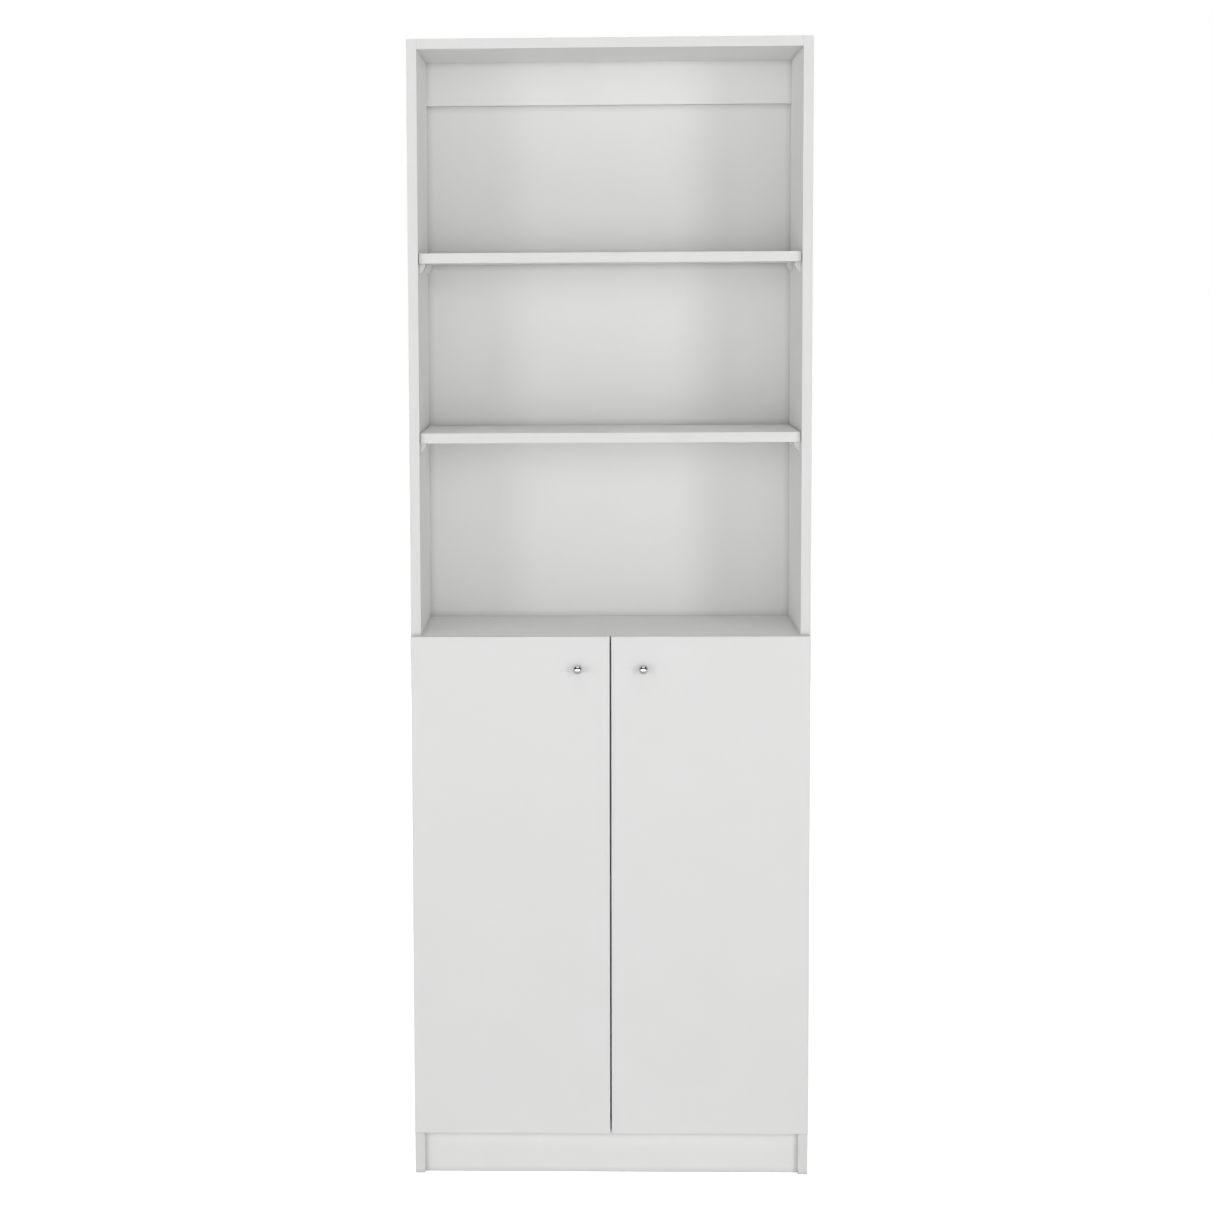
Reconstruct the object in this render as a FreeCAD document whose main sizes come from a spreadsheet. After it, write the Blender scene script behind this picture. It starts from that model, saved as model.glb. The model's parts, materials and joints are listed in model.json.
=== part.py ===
import FreeCAD, Part
import math
import os
import Sketcher

# Pantry cabinet: two side panels, top, fixed middle panel, bottom, plinth and back rail of
# 15 mm melamine-faced board, a two-piece hardboard back, three loose shelves on plastic
# gusset pins and two full-overlay doors on concealed cup hinges.
# Frame: +X to the right, +Y to the back, +Z up. The origin is on the floor, in the middle of
# the width and of the overall depth (knob fronts to nail heads).

V = FreeCAD.Vector
doc = FreeCAD.newDocument("PantryCabinet")

# ---------------------------------------------------------------- driving dimensions
PARAMS = [
    ("width", 600, "overall width"),
    ("height", 1716, "overall height"),
    ("board", 15, "thickness of every board"),
    ("side_depth", 280, "depth of side, top, middle and bottom panels"),
    ("back_thick", 3, "hardboard back"),
    ("y_offset", 122.3, "front edge of the panels to the origin"),
    ("door_thick", 15, "door thickness"),
    ("door_gap", 2, "air between door back and panel edges"),
    ("centre_gap", 2.4, "air between the two doors"),
    ("side_reveal", 0.5, "door edge inside the cabinet's side"),
    ("door_low", 68, "lower edge of the doors"),
    ("door_high", 830, "upper edge of the doors"),
    ("shelf_recess", 10, "shelf front edge behind panel front edge"),
    ("shelf_depth", 268, "shelf depth"),
    ("shelf_play", 0.75, "air at each shelf end"),
    ("upper_shelf", 1387, "underside of the upper open shelf"),
    ("lower_shelf", 1119, "underside of the lower open shelf"),
    ("inner_shelf", 447, "underside of the shelf behind the doors"),
    ("plinth_recess", 10, "plinth behind panel front edge"),
    ("rail_low", 1634, "underside of the back rail"),
    ("back_inset", 1, "back panel inside the outer outline"),
    ("back_bottom", 62, "lower edge of the hardboard back"),
    ("pin_front", 50, "front row of shelf pins"),
    ("pin_rear", 235, "rear row of shelf pins"),
    ("pin_hole", 5, "shelf pin bore diameter"),
    ("pin_reach", 7.8, "how far a pin stands out of the side"),
    ("pin_tall", 15, "height of a pin's gusset"),
    ("pin_thick", 6, "thickness of a pin's gusset"),
    ("cam_front", 50, "front cam of a panel"),
    ("cam_rear", 230, "rear cam of a panel"),
    ("dowel_front", 82, "front dowel of a panel"),
    ("dowel_rear", 198, "rear dowel of a panel"),
    ("cam_inset", 34, "cam centre from the panel's end"),
    ("cam_bore", 15, "cam bore diameter"),
    ("cam_deep", 12.5, "cam bore depth"),
    ("bolt_bore", 7, "bore for the cam bolt in a panel's end"),
    ("bolt_hole", 5, "threaded end's bore in a side panel"),
    ("dowel_bore", 8, "dowel bore diameter"),
    ("blind", 11, "depth of the blind bores in a side panel"),
    ("dowel_end", 21, "depth of a dowel bore in a panel's end"),
    ("strip_cam", 20, "cam of plinth or rail above its lower edge"),
    ("strip_dowel", 47, "dowel of plinth or rail above its lower edge"),
    ("hinge_inset", 100, "hinge centre from the door's upper or lower edge"),
    ("cup_inset", 22, "cup centre from the door's outer edge"),
    ("cup_bore", 35, "cup bore diameter"),
    ("cup_deep", 11.5, "cup bore depth"),
    ("cup_screw_x", 9.5, "cup screws inwards of the cup centre"),
    ("cup_screw_z", 24, "cup screws above and below the cup centre"),
    ("plate_line", 37, "hinge plate screws from the panel's front edge"),
    ("plate_screw_z", 16, "plate screws above and below the hinge centre"),
    ("link_reach", 17, "hinge link from its pivot to its far end"),
    ("link_angle", 203.2, "direction of the link with the door shut"),
    ("knob_x", 49.1, "knob axis from the cabinet's middle"),
    ("knob_z", 782.3, "knob axis above the floor"),
    ("knob_ball", 7.2, "radius of the knob's ball"),
    ("knob_foot", 4.6, "radius of the knob's foot against the door"),
    ("knob_out", 22, "knob projection from the door face"),
]
spec = doc.addObject("Spreadsheet::Sheet", "Spec")
for row, (alias, value, note) in enumerate(PARAMS, 1):
    spec.set("A%d" % row, note)
    spec.set("B%d" % row, str(value))
    spec.setAlias("B%d" % row, alias)
doc.recompute()
VAL = {alias: float(value) for alias, value, note in PARAMS}

NODES = []          # (object, file name)


def S(text):
    """Write the sheet's aliases into an expression: #width becomes Spec.width."""
    return str(text).replace("#", "Spec.")


def node(obj, name):
    obj.Label = name
    NODES.append((obj, name))
    return obj


def place(obj, x, y, z, axis=None, angle=0):
    """Bind an object's placement; x, y, z count from the middle, the panels' front edge, the floor."""
    if axis:
        obj.Placement = FreeCAD.Placement(V(0, 0, 0), FreeCAD.Rotation(V(*axis), angle))
    obj.setExpression("Placement.Base.x", S(x))
    obj.setExpression("Placement.Base.y", S("%s - #y_offset" % y))
    obj.setExpression("Placement.Base.z", S(z))
    return obj


# ---------------------------------------------------------------- sketch and pad helpers
def plane(body, role):
    return [f for f in body.Origin.OriginFeatures if f.Role == role][0]


def sketch_on(body, name, role, offset=None):
    sk = body.newObject("Sketcher::SketchObject", name)
    sk.AttachmentSupport = [(plane(body, role), "")]
    sk.MapMode = "FlatFace"
    if offset is not None:
        sk.setExpression("AttachmentOffset.Base.z", S(offset))
    return sk


def drive(sk, kind, refs, start, expr):
    c = sk.addConstraint(Sketcher.Constraint(kind, *(list(refs) + [float(start)])))
    sk.setExpression("Constraints[%d]" % c, S(expr))


def polygon(sk, points):
    """Closed outline through (x, y) pairs; every corner is dimensioned from the sketch's root."""
    n = len(points)
    for i in range(n):
        a, b = V(10 + 3 * i, 5 + (i % 2), 0), V(13 + 3 * i, 6 + (i % 2), 0)
        sk.addGeometry(Part.LineSegment(a, b), False)
    for i in range(n):
        sk.addConstraint(Sketcher.Constraint("Coincident", i, 2, (i + 1) % n, 1))
    for i, (x, y) in enumerate(points):
        drive(sk, "DistanceX", (-1, 1, i, 1), 10.0 + i, x)
        drive(sk, "DistanceY", (-1, 1, i, 1), 10.0 + i, y)


def block(name, lx, ly, lz, x, y, z):
    """A board: rectangle lx by ly padded up by lz. Local origin is its left front lower corner."""
    body = doc.addObject("PartDesign::Body", name)
    sk = sketch_on(body, name + "_outline", "XY_Plane")
    for a, b in (((0, 0), (9, 0)), ((9, 0), (9, 7)), ((9, 7), (0, 7)), ((0, 7), (0, 0))):
        sk.addGeometry(Part.LineSegment(V(a[0], a[1], 0), V(b[0], b[1], 0)), False)
    for i in range(4):
        sk.addConstraint(Sketcher.Constraint("Coincident", i, 2, (i + 1) % 4, 1))
    sk.addConstraint(Sketcher.Constraint("Coincident", 0, 1, -1, 1))
    sk.addConstraint(Sketcher.Constraint("Horizontal", 0))
    sk.addConstraint(Sketcher.Constraint("Vertical", 1))
    sk.addConstraint(Sketcher.Constraint("Horizontal", 2))
    sk.addConstraint(Sketcher.Constraint("Vertical", 3))
    drive(sk, "DistanceX", (0, 1, 0, 2), 9, lx)
    drive(sk, "DistanceY", (1, 1, 1, 2), 7, ly)
    pad = body.newObject("PartDesign::Pad", name + "_pad")
    pad.Profile = sk
    pad.setExpression("Length", S(lz))
    body.Tip = pad
    place(body, x, y, z)
    doc.recompute()
    return body


def bores(body, tag, role, offset, spots, dia, depth, reverse, share=1.0):
    """Round blind or through bores at sketch spots; checks the volume that they take away.
    share is the least part of the full cylinders' volume that must go."""
    before = body.Shape.Volume
    name = body.Name + "_" + tag
    sk = sketch_on(body, name, role, offset)
    first = None
    for i, (x, y) in enumerate(spots):
        g = sk.addGeometry(Part.Circle(V(11 + 17 * i, 13, 0), V(0, 0, 1), 2), False)
        drive(sk, "DistanceX", (-1, 1, g, 3), 11 + 17 * i, x)
        drive(sk, "DistanceY", (-1, 1, g, 3), 13, y)
        if first is None:
            first = g
            drive(sk, "Diameter", (g,), 4, dia)
        else:
            sk.addConstraint(Sketcher.Constraint("Equal", first, g))
    cut = body.newObject("PartDesign::Pocket", name + "_cut")
    cut.Profile = sk
    cut.Type = 0
    cut.Reversed = reverse
    cut.setExpression("Length", S(depth))
    body.Tip = cut
    doc.recompute()
    gone = before - body.Shape.Volume
    radius = sk.Geometry[0].Radius
    full = len(spots) * math.pi * radius ** 2 * cut.Length.Value
    if not (full * share * 0.999 <= gone <= full * 1.001):
        raise RuntimeError("%s took away %.1f of %.1f mm3" % (name, gone, full))
    return cut


# ---------------------------------------------------------------- primitive helpers
COUNT = [0]


def fresh(stem):
    COUNT[0] += 1
    return "%s_%03d" % (stem, COUNT[0])


def rod(stem, radius, length, x, y, z, axis):
    """Cylinder from (x, y, z) along +x, +y or +z."""
    c = doc.addObject("Part::Cylinder", fresh(stem))
    c.setExpression("Radius", S(radius))
    c.setExpression("Height", S(length))
    turn = {"x": ((0, 1, 0), 90), "y": ((1, 0, 0), -90), "z": ((0, 0, 1), 0)}[axis]
    return place(c, x, y, z, turn[0], turn[1])


def brick(stem, lx, ly, lz, x, y, z):
    b = doc.addObject("Part::Box", fresh(stem))
    b.setExpression("Length", S(lx))
    b.setExpression("Width", S(ly))
    b.setExpression("Height", S(lz))
    return place(b, x, y, z)


def fuse(stem, items):
    f = doc.addObject("Part::MultiFuse", fresh(stem))
    f.Shapes = items
    return f


def cut(stem, base, tool):
    c = doc.addObject("Part::Cut", fresh(stem))
    c.Base = base
    c.Tool = tool
    return c


def group(name, items):
    g = doc.addObject("Part::Compound", name)
    g.Links = items
    return g


def mirror(name, source):
    """The same piece on the other side of the cabinet's middle plane."""
    m = doc.addObject("Part::Mirroring", name)
    m.Source = source
    m.Base = V(0, 0, 0)
    m.Normal = V(1, 0, 0)
    return m


# ---------------------------------------------------------------- carcass boards
SPAN = "#width - 2 * #board"                  # clear width between the sides
IN_X = "(-#width / 2 + #board)"               # inner face of the left side

side = block("side_panel_left_board", "#board", "#side_depth", "#height", "-#width / 2", "0", "0")
levels = ("(#door_low + #board / 2)", "(#door_high - #board / 2)", "(#height - #board / 2)")
bolt_spots = [(y, z) for z in levels for y in ("#cam_front", "#cam_rear")]
bolt_spots += [("#side_depth - #board / 2", "#rail_low + #strip_cam"),
               ("#plinth_recess + #board / 2", "#strip_cam")]
dowel_spots = [(y, z) for z in levels for y in ("#dowel_front", "#dowel_rear")]
dowel_spots += [("#side_depth - #board / 2", "#rail_low + #strip_dowel"),
                ("#plinth_recess + #board / 2", "#strip_dowel")]
pin_spots = [(y, "#%s_shelf - 4" % s) for s in ("upper", "lower", "inner")
             for y in ("#pin_front", "#pin_rear")]
HINGES = ("(#door_low + #hinge_inset)", "(#door_high - #hinge_inset)")
plate_spots = [("#plate_line", "%s %s #plate_screw_z" % (h, sign)) for h in HINGES for sign in "+-"]
bores(side, "bolts", "YZ_Plane", "#board", bolt_spots, "#bolt_hole", "#blind", False)
bores(side, "dowels", "YZ_Plane", "#board", dowel_spots, "#dowel_bore", "#blind", False)
bores(side, "pins", "YZ_Plane", "#board", pin_spots, "#pin_hole", "9", False)
bores(side, "plates", "YZ_Plane", "#board", plate_spots, "5", "#blind", False)
node(side, "side_panel_left")
node(mirror("side_right", side), "side_panel_right")


def end_bores(body, ends, spots_bolt, spots_dowel):
    """Cam bolt and dowel bores in both ends of a board."""
    for tag, offset, reverse in ends:
        bores(body, "bolt" + tag, "YZ_Plane", offset, spots_bolt, "#bolt_bore", "#cam_inset", reverse)
        bores(body, "dowel" + tag, "YZ_Plane", offset, spots_dowel, "#dowel_bore", "#dowel_end", reverse)


ENDS = (("L", "0", True), ("R", SPAN, False))
flat_bolts = [(y, "#board / 2") for y in ("#cam_front", "#cam_rear")]
flat_dowels = [(y, "#board / 2") for y in ("#dowel_front", "#dowel_rear")]
flat_cams = [(x, y) for x in ("#cam_inset", "%s - #cam_inset" % SPAN) for y in ("#cam_front", "#cam_rear")]
for name, z, up in (("top_panel", "#height - #board", True),
                    ("middle_panel", "#door_high - #board", False),
                    ("bottom_panel", "#door_low", False)):
    b = block(name + "_board", SPAN, "#side_depth", "#board", IN_X, "0", z)
    end_bores(b, ENDS, flat_bolts, flat_dowels)
    # the cams sit in the face that is out of sight: above the top, below the others
    bores(b, "cams", "XY_Plane", "#board" if up else "0", flat_cams, "#cam_bore", "#cam_deep",
          not up, share=0.8)
    node(b, name)

strip_bolts = [("#board / 2", "#strip_cam")]
strip_dowels = [("#board / 2", "#strip_dowel")]
strip_cams = [(x, "#strip_cam") for x in ("#cam_inset", "%s - #cam_inset" % SPAN)]
for name, tall, y, z in (("plinth", "#door_low", "#plinth_recess", "0"),
                         ("back_rail", "#height - #board - #rail_low", "#side_depth - #board", "#rail_low")):
    b = block(name + "_board", SPAN, "#board", tall, IN_X, y, z)
    end_bores(b, ENDS, strip_bolts, strip_dowels)
    bores(b, "cams", "XZ_Plane", "-#board", strip_cams, "#cam_bore", "#cam_deep", True, share=0.8)
    node(b, name)

# hardboard back in two pieces that meet behind the middle panel
split = "(#door_high - #board / 2)"
node(block("back_low", "#width - 2 * #back_inset", "#back_thick", split + " - #back_bottom",
           "-#width / 2 + #back_inset", "#side_depth", "#back_bottom"), "back_panel_lower")
node(block("back_high", "#width - 2 * #back_inset", "#back_thick", "#height - #back_inset - " + split,
           "-#width / 2 + #back_inset", "#side_depth", split), "back_panel_upper")

# ---------------------------------------------------------------- loose shelves and their pins
for s in ("upper", "lower", "inner"):
    node(block("shelf_%s_board" % s, SPAN + " - 2 * #shelf_play", "#shelf_depth", "#board",
               IN_X + " + #shelf_play", "#shelf_recess", "#%s_shelf" % s), "shelf_" + s)


def shelf_pin(y, top):
    """Plastic gusset pin: stem in the side, flat top under the shelf, tapering to the wall below."""
    w = doc.addObject("Part::Wedge", fresh("gusset"))
    w.Xmin, w.Ymin, w.Zmin, w.Z2min, w.X2min = 0, 0, 0, 0, 0
    w.setExpression("Xmax", S("1.6"))
    w.setExpression("Ymax", S("#pin_tall - 5"))
    w.setExpression("Zmax", S("#pin_thick"))
    w.setExpression("X2max", S("#pin_reach"))
    w.setExpression("Z2max", S("#pin_thick"))
    place(w, IN_X, "%s + #pin_thick / 2" % y, "%s - #pin_tall" % top, (1, 0, 0), 90)
    head = brick("pinhead", "#pin_reach", "#pin_thick", "5", IN_X, "%s - #pin_thick / 2" % y, "%s - 5" % top)
    stem = rod("pinstem", "#pin_hole / 2 - 0.05", "8.5", IN_X + " - 8", y, "%s - 4" % top, "x")
    return fuse("pin", [w, head, stem])


for s in ("upper", "lower", "inner"):
    left = group("pins_%s_left" % s, [shelf_pin("#pin_front", "#%s_shelf" % s),
                                      shelf_pin("#pin_rear", "#%s_shelf" % s)])
    node(group("pins_" + s, [left, mirror("pins_%s_right" % s, left)]), "shelf_pins_" + s)

# ---------------------------------------------------------------- cams, bolts and dowels
cams, bolts, dowels = [], [], []


def cam_joint(y, z, face):
    """Cam, bolt at one left end. face is +1 or -1 along z, or 0 for a cam let in from the back."""
    if face == 0:
        body = rod("cam", "#cam_bore / 2 - 0.2", "#cam_deep - 0.5", IN_X + " + #cam_inset",
                   "%s + #board / 2 - #cam_deep + 0.25" % y, z, "y")
    elif face > 0:
        body = rod("cam", "#cam_bore / 2 - 0.2", "#cam_deep - 0.5", IN_X + " + #cam_inset", y,
                   "%s + #board / 2 - #cam_deep + 0.25" % z, "z")
    else:
        body = rod("cam", "#cam_bore / 2 - 0.2", "#cam_deep - 0.5", IN_X + " + #cam_inset", y,
                   "%s - #board / 2 + 0.25" % z, "z")
    cams.append(cut("cam", body, rod("camslot", "3.6", "9", IN_X + " + #cam_inset - 8", y, z, "x")))
    bolts.append(fuse("bolt", [rod("thread", "#bolt_hole / 2 - 0.05", "10", IN_X + " - 10", y, z, "x"),
                               rod("shank", "2.2", "#cam_inset - 3", IN_X + " - 0.5", y, z, "x"),
                               rod("head", "3.3", "4", IN_X + " + #cam_inset - 4", y, z, "x")]))


def dowel(y, z):
    dowels.append(rod("dowel", "#dowel_bore / 2 - 0.05", "30", IN_X + " - 10", y, z, "x"))


for z, face in zip(levels, (-1, -1, 1)):
    for y in ("#cam_front", "#cam_rear"):
        cam_joint(y, z, face)
    for y in ("#dowel_front", "#dowel_rear"):
        dowel(y, z)
for y, z0 in (("(#plinth_recess + #board / 2)", "0"), ("(#side_depth - #board / 2)", "#rail_low")):
    cam_joint(y, "(%s + #strip_cam)" % z0, 0)
    dowel(y, "(%s + #strip_dowel)" % z0)
for name, items in (("cam_locks", cams), ("cam_bolts", bolts), ("dowels", dowels)):
    left = group(name + "_left", items)
    node(group(name + "_all", [left, mirror(name + "_right", left)]), name)

# nails that hold the hardboard back
nails = []
mid = "(#width / 2 - #board / 2)"
spots = [("%s%s" % (sign, mid), z) for sign in ("-", "")
         for z in (90, 270, 450, 630, 790, 860, 1060, 1260, 1460, 1690)]
spots += [(x, "#height - #board / 2") for x in (-200, 0, 200)]
spots += [(x, "#door_low + #board / 2") for x in (-200, 0, 200)]
spots += [(x, "%s %s 4" % (split, sign)) for x in (-150, 150) for sign in "+-"]
for x, z in spots:
    nails.append(fuse("nail", [rod("nailshank", "0.8", "20", x, "#side_depth + #back_thick - 19.5", z, "y"),
                               rod("nailhead", "2.5", "0.6", x, "#side_depth + #back_thick", z, "y")]))
node(group("nails", nails), "back_nails")

# ---------------------------------------------------------------- doors, knobs
DX = "(-#width / 2 + #side_reveal)"                 # outer edge of the left door
DW = "(#width / 2 - #side_reveal - #centre_gap / 2)"
door = block("door_left_board", DW, "#door_thick", "#door_high - #door_low", DX,
             "(-#door_gap - #door_thick)", "#door_low")
local_hinges = ("#hinge_inset", "(#door_high - #door_low - #hinge_inset)")
bores(door, "cups", "XZ_Plane", "-#door_thick", [("#cup_inset", z) for z in local_hinges],
      "#cup_bore", "#cup_deep", True)
bores(door, "cupscrews", "XZ_Plane", "-#door_thick",
      [("#cup_inset + #cup_screw_x", "%s %s #cup_screw_z" % (z, sign)) for z in local_hinges for sign in "+-"],
      "3.6", "10.5", True)
bores(door, "knob", "XZ_Plane", "0", [("-#knob_x - " + DX, "#knob_z - #door_low")], "4.5", "#door_thick", False)
node(door, "door_left")
node(mirror("door_right_board", door), "door_right")

FACE = "(-#door_gap - #door_thick)"
ball = doc.addObject("Part::Sphere", "knobball")
ball.setExpression("Radius", S("#knob_ball"))
place(ball, "-#knob_x", FACE + " - #knob_out + #knob_ball", "#knob_z")
knob_solid = fuse("knob", [ball,
                           rod("knobneck", "3.2", "#knob_out - #knob_ball", "-#knob_x",
                               FACE + " - #knob_out + #knob_ball", "#knob_z", "y"),
                           rod("knobfoot", "#knob_foot", "2.2", "-#knob_x", FACE + " - 2.2", "#knob_z", "y")])
knob = cut("knobbored", knob_solid, rod("knobbore", "2.05", "9.5", "-#knob_x", FACE + " - 9.5", "#knob_z", "y"))
screw = fuse("knobscrew", [rod("knobshank", "2", "#door_thick + 9", "-#knob_x", FACE + " - 9", "#knob_z", "y"),
                           rod("knobhead", "4", "2", "-#knob_x", "-#door_gap", "#knob_z", "y")])
node(knob, "knob_left")
node(mirror("knob_r", knob), "knob_right")
node(screw, "knob_screw_left")
node(mirror("screw_r", screw), "knob_screw_right")

# ---------------------------------------------------------------- concealed hinges, left side
CX = "(-#width / 2 + #side_reveal + #cup_inset)"    # cup centre
BACK = "(-#door_gap)"                                # door's back face
PIVX, PIVY = "(-#width / 2 + 24)", "(-3)"           # link pivot in the arm's tip
cups, cup_screws, arms, plates, plate_screws, links, pins = [], [], [], [], [], [], []
for zc in HINGES:
    shell = fuse("cupsolid", [
        rod("cupwall", "#cup_bore / 2 - 0.05", "#cup_deep - 0.5", CX, BACK + " - #cup_deep + 0.5", zc, "y"),
        rod("cuprim", "#cup_bore / 2 + 1.2", "1.2", CX, BACK, zc, "y"),
        brick("cupwings", "14", "1.2", "58", CX + " + 2.5", BACK, zc + " - 29")])
    hollow = [rod("cuphollow", "#cup_bore / 2 - 1.1", "#cup_deep + 2", CX, BACK + " - #cup_deep + 1.5", zc, "y")]
    hollow += [rod("cuphole", "1.8", "3", CX + " + #cup_screw_x", BACK + " - 1", "%s %s #cup_screw_z" % (zc, sign), "y")
               for sign in "+-"]
    cups.append(cut("cup", shell, fuse("cuphollows", hollow)))
    for sign in "+-":
        z = "%s %s #cup_screw_z" % (zc, sign)
        cup_screws.append(fuse("cupscrew", [
            rod("cupshank", "1.75", "11.2", CX + " + #cup_screw_x", BACK + " - 10", z, "y"),
            rod("cuphead", "3", "1", CX + " + #cup_screw_x", BACK + " + 1.2", z, "y")]))
    # arm: channel open towards the side panel, its tip reaching into the cup
    outer = brick("armbody", "12", "66", "14", "-#width / 2 + 20", "-6", zc + " - 7")
    inner = brick("armhollow", "10.5", "70", "11", "-#width / 2 + 20", "-8", zc + " - 5.5")
    hole = rod("armhole", "1.55", "20", PIVX, PIVY, zc + " - 10", "z")
    arms.append(cut("arm", outer, fuse("armcuts", [inner, hole])))
    pins.append(rod("pivotpin", "1.5", "14.6", PIVX, PIVY, zc + " - 7.3", "z"))
    # mounting plate: flat cross on the side, ridge inside the arm
    flat = fuse("plateflat", [brick("platecore", "2", "40", "16", IN_X, "18", zc + " - 8"),
                              brick("platewings", "2", "14", "48", IN_X, "#plate_line - 7", zc + " - 24"),
                              brick("plateridge", "12.5", "38", "10", IN_X, "20", zc + " - 5")])
    holes = [rod("platehole", "2.5", "4", IN_X + " - 1", "#plate_line", "%s %s #plate_screw_z" % (zc, sign), "x")
             for sign in "+-"]
    plates.append(cut("plate", flat, fuse("plateholes", holes)))
    for sign in "+-":
        z = "%s %s #plate_screw_z" % (zc, sign)
        plate_screws.append(fuse("platescrew", [
            rod("plateshank", "2.4", "12", IN_X + " - 10", "#plate_line", z, "x"),
            rod("platehead", "3.8", "1.6", IN_X + " + 2", "#plate_line", z, "x")]))
    # link: eye on the pivot pin, straight bar to the far side of the cup
    bar = brick("linkbar", "#link_reach", "2.5", "9", "0", "0", "0")
    bar.Placement = FreeCAD.Placement(V(0, 0, 0), FreeCAD.Rotation(V(0, 0, 1), VAL["link_angle"]))
    ang = math.radians(VAL["link_angle"])
    bar.setExpression("Placement.Base.x", S("%s + %.6f" % (PIVX, 1.25 * math.sin(ang))))
    bar.setExpression("Placement.Base.y", S("%s - %.6f - #y_offset" % (PIVY, 1.25 * math.cos(ang))))
    bar.setExpression("Placement.Base.z", S(zc + " - 4.5"))
    eye = rod("linkeye", "2.9", "9", PIVX, PIVY, zc + " - 4.5", "z")
    tip = rod("linktip", "1.25", "9", "%s + %.6f" % (PIVX, VAL["link_reach"] * math.cos(ang)),
              "%s + %.6f" % (PIVY, VAL["link_reach"] * math.sin(ang)), zc + " - 4.5", "z")
    links.append(cut("link", fuse("linksolid", [bar, eye, tip]),
                     rod("linkhole", "1.55", "12", PIVX, PIVY, zc + " - 6", "z")))

for name, items in (("hinge_cups", cups), ("cup_screws", cup_screws), ("hinge_arms", arms),
                    ("hinge_plates", plates), ("plate_screws", plate_screws),
                    ("hinge_links", links), ("hinge_pins", pins)):
    left = group(name + "_l", items)
    node(left, name + "_left")
    node(mirror(name + "_r", left), name + "_right")

# ---------------------------------------------------------------- checks, then the files
doc.recompute()
bad = [o.Name for o in doc.Objects if any(s in ("Invalid", "Error") for s in o.State)]
if bad:
    raise RuntimeError("failed objects: %s" % bad)
for obj, name in NODES:
    shape = obj.Shape
    if shape.isNull() or not shape.isValid() or not shape.Solids:
        raise RuntimeError("%s has no valid solid" % name)
    if len(name) >= 60:
        raise RuntimeError("%s is too long a name" % name)
if len(set(name for obj, name in NODES)) != len(NODES) or len(NODES) > 60:
    raise RuntimeError("node names")

os.makedirs("parts", exist_ok=True)
whole = FreeCAD.BoundBox()
for obj, name in NODES:
    obj.Shape.exportStep("parts/%s.step" % name)
    whole.add(obj.Shape.BoundBox)
    print("%-20s %3d solids %12.1f mm3" % (name, len(obj.Shape.Solids), obj.Shape.Volume))
print("%d nodes, box %s" % (len(NODES), whole))
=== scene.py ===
import json
import math

import bmesh
import bpy
from mathutils import Matrix, Vector


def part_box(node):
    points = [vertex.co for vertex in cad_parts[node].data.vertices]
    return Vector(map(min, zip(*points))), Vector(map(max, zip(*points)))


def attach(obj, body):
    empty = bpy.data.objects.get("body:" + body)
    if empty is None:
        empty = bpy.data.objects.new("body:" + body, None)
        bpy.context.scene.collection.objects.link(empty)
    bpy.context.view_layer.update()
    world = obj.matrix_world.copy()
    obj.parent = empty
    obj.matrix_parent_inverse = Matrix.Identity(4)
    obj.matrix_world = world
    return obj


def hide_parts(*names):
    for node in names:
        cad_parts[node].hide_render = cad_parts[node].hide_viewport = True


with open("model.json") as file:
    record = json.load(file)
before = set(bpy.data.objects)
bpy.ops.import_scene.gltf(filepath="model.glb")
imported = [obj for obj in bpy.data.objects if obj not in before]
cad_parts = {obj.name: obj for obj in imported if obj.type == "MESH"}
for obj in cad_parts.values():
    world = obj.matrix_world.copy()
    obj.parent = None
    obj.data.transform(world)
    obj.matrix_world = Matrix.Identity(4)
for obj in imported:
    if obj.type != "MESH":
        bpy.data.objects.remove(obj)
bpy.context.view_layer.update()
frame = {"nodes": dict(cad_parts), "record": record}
NODES = frame["nodes"]
BODY_OF = {n: b for b, names in frame["record"]["behaviour"]["bodies"].items() for n in names}
MM = 0.001


# ------------------------------------------------------------------ materials
def new_material(name):
    m = bpy.data.materials.new(name)
    m.use_nodes = True
    nt = m.node_tree
    nt.nodes.clear()
    out = nt.nodes.new("ShaderNodeOutputMaterial")
    bsdf = nt.nodes.new("ShaderNodeBsdfPrincipled")
    nt.links.new(bsdf.outputs["BSDF"], out.inputs["Surface"])
    return m, nt, bsdf


def add(nt, kind, **values):
    n = nt.nodes.new(kind)
    for key, v in values.items():
        if hasattr(n, key):
            setattr(n, key, v)
        else:
            n.inputs[key.replace("_", " ")].default_value = v
    return n


def coords(nt, scale=(1, 1, 1)):
    tc = nt.nodes.new("ShaderNodeTexCoord")
    mp = nt.nodes.new("ShaderNodeMapping")
    mp.inputs["Scale"].default_value = scale
    nt.links.new(tc.outputs["Object"], mp.inputs["Vector"])
    return mp.outputs["Vector"]


def noise(nt, vec, scale, detail=3.0, rough=0.5):
    n = nt.nodes.new("ShaderNodeTexNoise")
    n.inputs["Scale"].default_value = scale
    n.inputs["Detail"].default_value = detail
    n.inputs["Roughness"].default_value = rough
    nt.links.new(vec, n.inputs["Vector"])
    return n.outputs["Fac"]


def ramp(nt, fac, stops):
    r = nt.nodes.new("ShaderNodeValToRGB")
    els = r.color_ramp.elements
    while len(els) < len(stops):
        els.new(0.5)
    for e, (pos, col) in zip(els, stops):
        e.position = pos
        e.color = (col[0], col[1], col[2], 1.0)
    nt.links.new(fac, r.inputs["Fac"])
    return r.outputs["Color"]


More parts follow.
